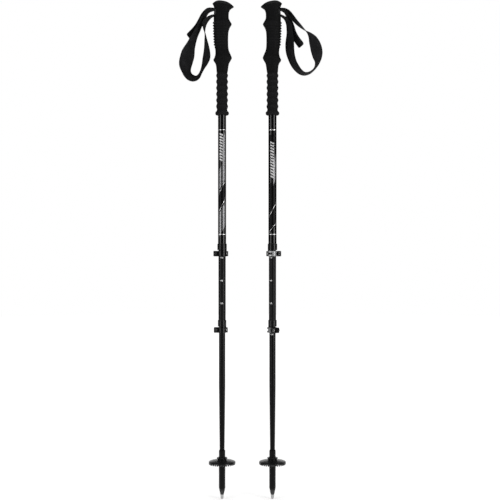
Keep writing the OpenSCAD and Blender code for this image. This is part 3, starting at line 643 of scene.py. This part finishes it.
# Stage in metres: turn in degrees and share of the power of each softbox, and where the lights stand
SOFTBOXES = {"softbox_left": (-50, 0.78), "softbox_right": (50, 1.25)}
SOFTBOX_AWAY, SOFTBOX_UP, SOFTBOX_SIZE = 2.4, 0.75, (0.95, 1.9)
TOP_LIGHT_AT, TOP_LIGHT_SIZE, TOP_LIGHT_POWER = (0, 0.1, 2.6), (1.6, 1.6), 10.0
FLOOR_RADIUS, FLOOR_SIDES, SENSOR = 6, 64, 36
# Cosines between which the backdrop begins, the floor's glow by distance, and where its pale sweep begins
BACKDROP, FLOOR_GLOW, FLOOR_SWEEP = (0.86, 0.95), (0.4, 2.4, 0.56, 0.85), (-0.25, 0.15)


# Properties


def span(name, description, default):
    """Setting for a length in metres."""
    return bpy.props.FloatProperty(name=name, description=description, default=default, unit="LENGTH")


def hue(name, description, *default):
    """Setting for an opaque colour."""
    return bpy.props.FloatVectorProperty(
        name=name, description=description, subtype="COLOR", size=4, default=(*default, 1))


class PoleSizes(bpy.types.PropertyGroup):
    """Sizes that a user would change."""

    rib_height: span("Rib height", "Height of the ribs on the palm side", 0.0026)
    strap_thickness: span("Strap thickness", "Thickness of the webbing", 0.0016)
    number_height: span("Number height", "Height of the length numbers", 0.0027)
    teeth: bpy.props.IntProperty(
        name="Basket teeth", description="Teeth round the rim of a basket", default=36, min=12, max=60)


class PoleColours(bpy.types.PropertyGroup):
    """Colours of the finishes."""

    rubber: hue("Grip rubber", "Moulded grip", 0.0025, 0.0025, 0.0027)
    cap: hue("Cap", "Cap on the grip", 0.006, 0.006, 0.0063)
    foam: hue("Foam", "Foam extension", 0.0033, 0.0033, 0.0036)
    webbing: hue("Webbing", "Wrist strap", 0.0055, 0.0055, 0.006)
    lacquer: hue("Lacquer", "Upper tube", 0.0016, 0.0016, 0.0018)
    print_silver: hue("Silver ink", "Panels of the print", 0.23, 0.23, 0.235)
    print_dark: hue("Dark ink", "Dark panels of the print", 0.01, 0.01, 0.0105)
    print_white: hue("White ink", "Bars and lines of the print", 0.6, 0.6, 0.6)
    satin: hue("Satin coat", "Middle tubes", 0.0048, 0.0048, 0.0051)
    satin_lower: hue("Lower satin coat", "Lower tubes", 0.0024, 0.0024, 0.0026)
    lock: hue("Lock plastic", "Lock collars and ferrules", 0.0026, 0.0026, 0.0028)
    lever: hue("Lever alloy", "Levers of the upper locks", 0.42, 0.425, 0.43)
    # The lower levers are the same alloy painted darker, as shade
    lever_shaded_lower: hue("Lower lever alloy with painted shade", "Levers of the lower locks", 0.2, 0.202, 0.205)
    steel: hue("Steel", "Pins and screws", 0.2, 0.2, 0.2)
    basket: hue("Basket plastic", "Baskets", 0.006, 0.006, 0.0064)
    tip: hue("Hard metal", "Tips", 0.62, 0.62, 0.62)
    inner: hue("Inner plastic", "Plugs, bushings and wedges", 0.02, 0.02, 0.021)
    number: hue("Number ink", "Length numbers", 0.8, 0.8, 0.8)


class StageSettings(bpy.types.PropertyGroup):
    """Camera and light."""

    distance: span("Distance", "From the camera to the poles", 2.1)
    width: span("Width in view", "Width of the picture at the poles", 1.1015)
    eye: span("Eye height", "Height of the camera", 0.548)
    aside: span("Aside", "Camera's place across the picture", -0.002)
    ambient: bpy.props.FloatProperty(
        name="Ambient", description="Light from all round", default=0.28, min=0, max=2)
    room: bpy.props.FloatProperty(
        name="Room", description="What a reflection sees beside the backdrop", default=0.06, min=0, max=1)
    box_power: bpy.props.FloatProperty(
        name="Softbox power", description="Power of a tall softbox", default=29.0, subtype="POWER")


# Operators


class POLES_OT_stage(bpy.types.Operator):
    """Makes the floor, the light all round, two tall softboxes, a top light and the camera"""

    bl_idname = "poles.stage"
    bl_label = "Stage"

    def execute(self, context):
        scene, setup = context.scene, context.scene.pole_stage
        scene.view_settings.view_transform = "Standard"
        self.world(scene, setup)
        self.floor()
        for name, (angle, share) in SOFTBOXES.items():
            a = math.radians(angle)
            at = (SOFTBOX_AWAY * math.sin(a), -SOFTBOX_AWAY * math.cos(a), SOFTBOX_UP)
            self.lamp(name, at, (math.pi / 2, 0, a), SOFTBOX_SIZE, share * setup.box_power)
        self.lamp("top_light", TOP_LIGHT_AT, (0, 0, 0), TOP_LIGHT_SIZE, TOP_LIGHT_POWER)
        camera = add("camera", bpy.data.cameras.new("camera"))
        camera.location = (setup.aside, -setup.distance, setup.eye)
        camera.rotation_euler = (math.pi / 2, 0, 0)
        camera.data.sensor_width = SENSOR
        camera.data.lens = SENSOR * setup.distance / setup.width
        scene.camera = camera
        return {"FINISHED"}

    def world(self, scene, setup):
        """White to the camera, dimmer as light, and in a reflection dark but for the backdrop."""
        scene.world = bpy.data.worlds.new("pale room")
        scene.world.use_nodes = True
        tree = scene.world.node_tree
        back = tree.nodes["Background"]
        back.inputs["Color"].default_value = (1, 1, 1, 1)
        way = put(tree, "TexCoord").outputs["Generated"]
        toward_back = put(tree, "SeparateXYZ", {0: way}).outputs[1]
        sweep = ramp(tree, toward_back, *BACKDROP, setup.room, 1.0)
        path = put(tree, "LightPath").outputs
        mirror = calc(tree, "MAXIMUM", path["Is Glossy Ray"], path["Is Transmission Ray"])
        light = between(tree, mirror, setup.ambient, sweep)
        tree.links.new(between(tree, path["Is Camera Ray"], light, 1.0), back.inputs["Strength"])

    def floor(self):
        """Pale disc that glows to the camera, and in a reflection only where the pale sweep goes on."""
        a = 2 * np.pi * np.arange(FLOOR_SIDES) / FLOOR_SIDES
        ring = np.stack([FLOOR_RADIUS * np.cos(a), FLOOR_RADIUS * np.sin(a), 0 * a], axis=1)
        mesh = bpy.data.meshes.new("floor")
        mesh.from_pydata(ring.tolist(), [], [list(range(FLOOR_SIDES))])
        floor = add("floor", mesh)
        material, tree, sockets = finish_nodes("pale floor", 0.0)
        sockets["Base Color"].default_value = (0.86, 0.86, 0.86, 1)
        sockets["Roughness"].default_value = 0.9
        sockets["Emission Color"].default_value = (1, 1, 1, 1)
        where = place(tree)
        away = put(tree, "VectorMath", {0: where}, operation="LENGTH").outputs["Value"]
        glow = ramp(tree, away, *FLOOR_GLOW)
        sweep = ramp(tree, put(tree, "SeparateXYZ", {0: where}).outputs[1], *FLOOR_SWEEP)
        path = put(tree, "LightPath").outputs
        mirror = times(tree, path["Is Glossy Ray"], sweep)
        sight = calc(tree, "MAXIMUM", path["Is Camera Ray"], mirror)
        sight = calc(tree, "MAXIMUM", sight, path["Is Transmission Ray"])
        tree.links.new(between(tree, sight, 0.0, glow), sockets["Emission Strength"])
        mesh.materials.append(material)

    def lamp(self, name, at, turn, size, power):
        """A rectangular light that the camera doesn't see."""
        light = bpy.data.lights.new(name, "AREA")
        light.shape, light.size, light.size_y, light.energy = "RECTANGLE", *size, power
        lamp = add(name, light)
        lamp.location, lamp.rotation_euler = at, turn
        lamp.visible_camera = False


class POLES_OT_grips(bpy.types.Operator):
    """Makes the moulded grips: stacked sections with ridges, palm ribs and the strap's slot"""

    bl_idname = "poles.grips"
    bl_label = "Grips"

    def execute(self, context):
        rubber = moulded(
            "grip rubber", context.scene.pole_colours.rubber, 0.66, 0.08, size=1400.0, depth=0.00016,
            wear="ridge", speckle=0.33)
        for side in SIDES:
            grip = self.grip(side, context.scene.pole_sizes.rib_height / MM)
            hand_over(grip, rubber, "grip_rubber", f"{side}_upper", f"{side}_grip")
        return {"FINISHED"}

    def grip(self, side, rib_height):
        """Sections through the stations, 2.5 to a millimetre, each rib a narrow crest on the palm side."""
        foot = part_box(f"{side}_grip")[0].z / MM
        z = np.linspace(0, GRIP[-1][0], GRIP_ROWS)
        front, rear, half = (through(GRIP, k, z) for k in (1, 2, 3))
        low, high, pitch = RIBS
        crest = 1 - np.abs(2 * ((z - low) / pitch % 1) - 1)
        rib = crest**RIB_POWER * ease(low - 2, low + 10, z) * (1 - ease(high - 1, high + 1, z))
        lean = CAP_LEAN * ease(z[-1] - 24, z[-1], z)
        points = sections(z, front, rear, half, rib_height * rib, lean, OUTWARD[side])
        ridge = np.maximum(*(np.exp(-((z - at) / RIDGE_WIDTH) ** 2) for at in RIDGES))
        mark = np.maximum(0.35 * ridge, 0.5 * rib)[:, None]
        grip = shell(
            f"{side}_grip_moulding", stand(points, side, foot), poles=True, flip=OUTWARD[side] < 0, sharp=50,
            marks={"ridge": mark})
        cut(grip, self.slot(side))
        cut(grip, self.bore(side, foot))
        finish_shading(grip.data, 50)
        return grip

    def bore(self, side, foot):
        """Closed round prism where the tube goes up into the grip, from under its foot to the plug's top."""
        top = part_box(f"{side}_tube_plug")[1].z / MM
        points = turned([[GRIP_BORE, foot - 2], [GRIP_BORE, top]], 96)
        return shell(f"{side}_bore_tool", stand(points, side), poles=True)

    def slot(self, side):
        """Closed prism with a round inner end across the slot, reaching out past the palm side."""
        a = np.linspace(0, np.pi, 17)
        reach, rise, drop, half = 24.0, 9.3, 7.8, 10.4
        mid, r = (rise - drop) / 2, (rise + drop) / 2
        x = np.concatenate([-r * np.sin(a), [reach, reach]])
        h = np.concatenate([mid + r * np.cos(a), [mid - r, mid + r]])
        out = OUTWARD[side]
        points = np.stack([np.stack([out * x, np.full_like(x, y), h], axis=-1) for y in (-half, half)])
        return shell(f"{side}_slot_tool", stand(points, side, SLOT_Z), poles=True, flip=out < 0)


class POLES_OT_caps(bpy.types.Operator):
    """Makes the domed caps with a step at their edge and a paler crown, worn and with a painted highlight"""

    bl_idname = "poles.caps"
    bl_label = "Caps"

    def execute(self, context):
        # The crown mark paints the dome's top paler: wear and a painted highlight
        plastic = moulded(
            "cap plastic", context.scene.pole_colours.cap, 0.62, 0.09, size=1700.0, depth=0.0001,
            wear="crown")
        for side in SIDES:
            hand_over(self.cap(side), plastic, "cap_plastic", f"{side}_upper", f"{side}_grip_cap")
        return {"FINISHED"}

    def cap(self, side):
        """Dome on a tilted foot, over a small inset step: it falls off with a power of the way out."""
        share = np.linspace(1, 0.02, 46)
        z = np.concatenate([[-CAP_STEP, CAP_STEP], CAP_STEP + CAP_RISE * (1 - share**CAP_POWER)])
        share = np.concatenate([[CAP_INSET, CAP_INSET], share])
        front, rear, half = (reach * share for reach in GRIP[-1][1:])
        points = sections(z, front, rear, half, 0 * z, np.full_like(z, CAP_LEAN), OUTWARD[side])
        # Paler towards the top of the dome: wear with a painted highlight
        crown = ease(5, CAP_RISE, z)[:, None] * 0.3
        return shell(
            f"{side}_cap_dome", stand(points, side, CAP_Z), poles=True, flip=OUTWARD[side] < 0, sharp=50,
            marks={"crown": crown})


class POLES_OT_foam(bpy.types.Operator):
    """Makes the ringed foam sleeves with their flange"""

    bl_idname = "poles.foam"
    bl_label = "Foam sleeves"

    def execute(self, context):
        foam = moulded(
            "closed foam", context.scene.pole_colours.foam, 0.8, 0.1, size=1100.0, depth=0.0002, spread=2.2,
            scuffs=0.15, wear="ring", speckle=0.55)
        for side in SIDES:
            hand_over(self.sleeve(side), foam, "foam", f"{side}_upper", f"{side}_grip_extension")
        return {"FINISHED"}

    def sleeve(self, side):
        """Turned profile: a round flange, then a wave of rings, with a groove at either end, and the bore."""
        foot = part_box(f"{side}_grip_extension")[0].z / MM
        k = np.linspace(0, np.pi, 25)
        flange = np.stack(
            [FLANGE - FLANGE_ROUND * (1 - np.sin(k)), FLANGE_HALF * (1 - np.cos(k))], axis=1)
        z = np.linspace(0.5, FOAM_TOP - 2 * FLANGE_HALF, 172)
        dip = (1 + np.cos(2 * np.pi * (z - RING_GROOVE) / RING_PITCH)) / 2
        wave = np.stack([RING_CREST - RING_DEPTH * dip, 2 * FLANGE_HALF + z], axis=1)
        profile = np.concatenate([[[FOAM_BORE, 0]], flange, wave, [[FOAM_BORE, FOAM_TOP]]])
        points = stand(turned(profile, 96), side, foot)
        ring = ease(12, RING_CREST, profile[:, 0])[:, None] * 0.5
        return shell(f"{side}_foam_sleeve", points, wrap_rows=True, sharp=60, marks={"ring": ring})


class POLES_OT_straps(bpy.types.Operator):
    """Makes the wrist straps, each one length of webbing from its loose tail round the wedge and the wrist"""

    bl_idname = "poles.straps"
    bl_label = "Wrist straps"

    def execute(self, context):
        cloth = webbing("webbing", context.scene.pole_colours.webbing)
        thick = context.scene.pole_sizes.strap_thickness / MM
        for side in SIDES:
            strap, length, area = self.strap(side, thick)
            hand_over(strap, cloth, "webbing", None, f"{side}_strap_neck", f"{side}_strap_loop")
            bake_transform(strap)
        return {"FINISHED"}

    def route(self, side):
        """Tail to slot, half turn round the wedge, lower strand, wrist, and back in; columns as in LOOP."""
        tail, loop = spline(TAIL[side], 12)[::-1].copy(), spline(LOOP[side], 12)[::-1].copy()
        tail[:, 2] *= -1
        loop[:, 2] *= -1
        rise, drop, back = TAIL[side][0][1], 6.6, LOOP[side][0][1]
        a = np.linspace(0, np.pi, 25)
        r, mid = (rise + drop) / 2, (rise - drop) / 2
        turn = np.stack([-MOUTH - r * np.sin(a), mid + r * np.cos(a), 0 * a, 0 * a + NECK], axis=1)
        straight, stub, stop = 9.0, 7.0, 5.0
        inward = np.array([[-straight, rise, 0, NECK], *turn, [-straight, -drop, 0, NECK]])
        end = np.array([[-stub, back, 0, NECK], [stop - MOUTH, back, 0, NECK]])
        return np.concatenate([tail, inward, loop, end])

    def strap(self, side, thick):
        """A flat section with round selvedges, carried along the route and turned about its tangent."""
        rough = self.route(side)
        gap = np.hypot(*np.diff(rough[:, :2], axis=0).T)
        rough = rough[np.concatenate([[True], gap > 1e-6])]
        s = np.concatenate([[0], np.cumsum(np.hypot(*np.diff(rough[:, :2], axis=0).T))])
        at = np.arange(0, s[-1], STRAP_STEP)
        out, h, phi, width = (np.interp(at, s, rough[:, k]) for k in range(4))
        width = width * np.sqrt(1 - 0.5 * np.clip(1 - at / TAIL_ROUND, 0, 1) ** 2)
        d = OUTWARD[side]
        centre = np.stack([axis_x(side) / MM + d * (MOUTH + out), 0 * out, SLOT_Z + h], axis=1)
        tangent = np.gradient(centre, axis=0)
        tangent /= np.linalg.norm(tangent, axis=1)[:, None]
        across = np.stack([-tangent[:, 2], 0 * out, tangent[:, 0]], axis=1)
        sin, cos = np.sin(np.radians(phi))[:, None], np.cos(np.radians(phi))[:, None]
        y = np.array([[0.0, 1.0, 0.0]])
        wide, up = sin * across + cos * y, cos * across - sin * y
        u = np.sin(np.linspace(-np.pi / 2, np.pi / 2, 17))
        edge = np.sqrt(np.maximum(0, 1 - np.abs(u) ** 6))
        u = np.concatenate([u, u[-2:0:-1]])
        lift = np.concatenate([edge, -edge[-2:0:-1]]) * thick / 2
        sideways = u * width[:, None] / 2
        points = centre[:, None] + wide[:, None] * sideways[..., None] + up[:, None] * lift[None, :, None]
        uv = np.stack([sideways * MM, np.broadcast_to(at[:, None] * MM, sideways.shape)], axis=-1)
        rim = (1 - np.abs(u)) * width[:, None] / 2 * MM
        strap = shell(f"{side}_wrist_strap", points * MM, poles=True, sharp=60, marks={"edge": rim}, uv=uv)
        return strap, s[-1] * MM, float(width.mean() * s[-1]) * MM * MM


class POLES_OT_tubes(bpy.types.Operator):
    """Finishes the tubes, and prints the length numbers on them"""

    bl_idname = "poles.tubes"
    bl_label = "Tubes"

    def execute(self, context):
        colours, size = context.scene.pole_colours, context.scene.pole_sizes.number_height
        satin = satin_tube("satin tube", colours.satin, 0.12, 0.28)
        lower = satin_tube("lower satin tube", colours.satin_lower, 0.13, 0.2)
        ink = moulded("number ink", colours.number, 0.5, 0.2, spread=1.1, scuffs=0.2)
        for side in SIDES:
            turn = 0.0 if side == "left" else math.pi
            paint(f"{side}_upper_tube", printed_tube(f"{side} printed lacquer", colours, axis_x(side), turn))
            paint(f"{side}_middle_tube", satin)
            paint(f"{side}_lower_tube", lower)
            for text, z in NUMBERS:
                name = f"{side}_mark_{text}"
                piece = self.number(side, name, text, size, MIDDLE_RADIUS, z, NUMBER_TURN[side])
                hand_over(piece, ink, "satin_tube", f"{side}_middle")
            text, z = LOWER_NUMBER
            piece = self.number(side, f"{side}_lower_mark", text, size, LOWER_RADIUS, z, LOWER_TURN[side])
            hand_over(piece, ink, "satin_tube", f"{side}_lower")
        return {"FINISHED"}

    def number(self, side, name, text, size, radius, z, turn):
        """Text made a mesh, then rolled round the tube: its width, drawn out by a fifth, becomes a turn."""
        curve = bpy.data.curves.new(name, "FONT")
        curve.body, curve.align_x, curve.align_y = text, "CENTER", "CENTER"
        curve.size, curve.offset = size / DIGIT_SHARE, INK_SPREAD
        flat = bpy.data.objects.new(name, curve)
        mesh = bpy.data.meshes.new_from_object(flat)
        bpy.data.objects.remove(flat)
        bpy.data.curves.remove(curve)
        co = np.zeros(len(mesh.vertices) * 3, np.float32)
        mesh.vertices.foreach_get("co", co)
        co = co.reshape(-1, 3).astype(float)
        angle, r = turn + DIGIT_STRETCH * co[:, 0] / (radius * MM), radius * MM + INK_LIFT
        rolled = np.stack([axis_x(side) + r * np.sin(angle), -r * np.cos(angle), z * MM + co[:, 1]], axis=1)
        mesh.vertices.foreach_set("co", rolled.astype(np.float32).ravel())
        mesh.update()
        return add(name, mesh)


class POLES_OT_locks(bpy.types.Operator):
    """Finishes the lever locks: moulded collars, alloy levers, steel pins and screws"""

    bl_idname = "poles.locks"
    bl_label = "Lever locks"

    def execute(self, context):
        colours = context.scene.pole_colours
        plastic = moulded("lock plastic", colours.lock, 0.22, 0.22, size=1800.0, depth=0.00006)
        steel = metal("steel", colours.steel, 0.26)
        # The lower locks' levers take the darker copy of the alloy: painted shade
        alloys = {"upper": colours.lever, "lower": colours.lever_shaded_lower}
        for side in SIDES:
            for level, alloy in alloys.items():
                lock = f"{side}_{level}_lock"
                low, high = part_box(f"{lock}_pin")
                pivot = ((low.x + high.x) / 2, (low.y + high.y) / 2, 0)
                paint(f"{lock}_collar", plastic)
                paint(f"{lock}_lever", lever_alloy(f"{side} {level} lever alloy", alloy, pivot, LIP[level]))
                paint(f"{lock}_pin", steel)
                paint(f"{lock}_screw", steel)
            paint(f"{side}_strap_pin", steel)
        return {"FINISHED"}


class POLES_OT_inner(bpy.types.Operator):
    """Finishes the plugs, bushings and wedges inside the poles"""

    bl_idname = "poles.inner"
    bl_label = "Inner pieces"

    def execute(self, context):
        plastic = moulded("inner plastic", context.scene.pole_colours.inner, 0.45, 0.3, size=1500.0)
        for side in SIDES:
            for piece in ("strap_wedge", "tube_plug", "middle_bushing", "lower_bushing"):
                paint(f"{side}_{piece}", plastic)
        return {"FINISHED"}


class POLES_OT_tips(bpy.types.Operator):
    """Finishes the ferrules and tips, and makes the baskets with their crown and toothed rim"""

    bl_idname = "poles.tips"
    bl_label = "Tips and baskets"

    def execute(self, context):
        colours = context.scene.pole_colours
        # The ferrule's foot is painted paler: rubbing wear and a painted reflection of the floor
        ferrule = moulded(
            "ferrule plastic", colours.lock, 0.22, 0.16, size=1600.0, depth=0.00004, rub_and_sheen_height=RUB_AND_SHEEN_HEIGHT)
        dish = moulded("basket plastic", colours.basket, 0.24, 0.3, size=1500.0, depth=0.0001, wear="rim")
        bright = metal("hard metal", colours.tip, 0.24, scuffs=0.8)
        for side in SIDES:
            paint(f"{side}_tip_ferrule", ferrule)
            paint(f"{side}_tip", bright)
            basket = self.basket(side, context.scene.pole_sizes.teeth)
            hand_over(basket, dish, "basket_plastic", f"{side}_lower", f"{side}_basket")
        return {"FINISHED"}

    def basket(self, side, teeth):
        """Closed turned profile, whose rim drops in teeth and whose crown is notched round the turn."""
        turns = teeth * TOOTH_STEPS
        a = 2 * np.pi * np.arange(turns) / turns
        points = turned(BASKET, turns)
        radius, height = BASKET.T
        tooth = ease(-0.35, 0.35, np.cos(teeth * a))
        hanging = slice(9, 13)
        points[hanging, :, 2] += (1 - tooth) * TOOTH_DROP
        notch = ease(0.55, 0.85, np.cos(CROWN_NOTCHES * a + np.pi))
        crown = (height > 14) & (radius > 10)
        points[crown, :, :2] *= (1 - NOTCH_DEPTH * notch)[None, :, None]
        rim = (radius > 28)[:, None] * 0.25
        return shell(
            f"{side}_basket_dish", stand(points, side, BASKET_FOOT), wrap_rows=True, sharp=35,
            marks={"rim": rim})


class POLES_PT_panel(bpy.types.Panel):
    """Lists the steps in the sidebar"""

    bl_idname = "POLES_PT_panel"
    bl_label = "Trekking poles"
    bl_space_type = "VIEW_3D"
    bl_region_type = "UI"
    bl_category = "Poles"

    def draw(self, context):
        for step in STEPS:
            self.layout.operator(step.bl_idname)
        for settings in (context.scene.pole_sizes, context.scene.pole_colours, context.scene.pole_stage):
            box = self.layout.box()
            for key in settings.bl_rna.properties.keys():
                if key not in ("rna_type", "name"):
                    box.prop(settings, key)


STEPS = (
    POLES_OT_stage, POLES_OT_straps, POLES_OT_grips, POLES_OT_caps, POLES_OT_foam, POLES_OT_tubes,
    POLES_OT_locks, POLES_OT_inner, POLES_OT_tips,
)
SETTINGS = {"pole_sizes": PoleSizes, "pole_colours": PoleColours, "pole_stage": StageSettings}


def register():
    """Registers the classes and hangs the settings on the scene."""
    for cls in (*SETTINGS.values(), *STEPS, POLES_PT_panel):
        bpy.utils.register_class(cls)
    for key, cls in SETTINGS.items():
        setattr(bpy.types.Scene, key, bpy.props.PointerProperty(type=cls))


def unregister():
    """Takes back what register has done."""
    for key in SETTINGS:
        delattr(bpy.types.Scene, key)
    for cls in reversed((*SETTINGS.values(), *STEPS, POLES_PT_panel)):
        bpy.utils.unregister_class(cls)


def main():
    """Registers and runs every step in order."""
    register()
    for step in STEPS:
        area, name = step.bl_idname.split(".")
        getattr(getattr(bpy.ops, area), name)()
    bpy.context.view_layer.update()


if __name__ == "__main__":
    main()
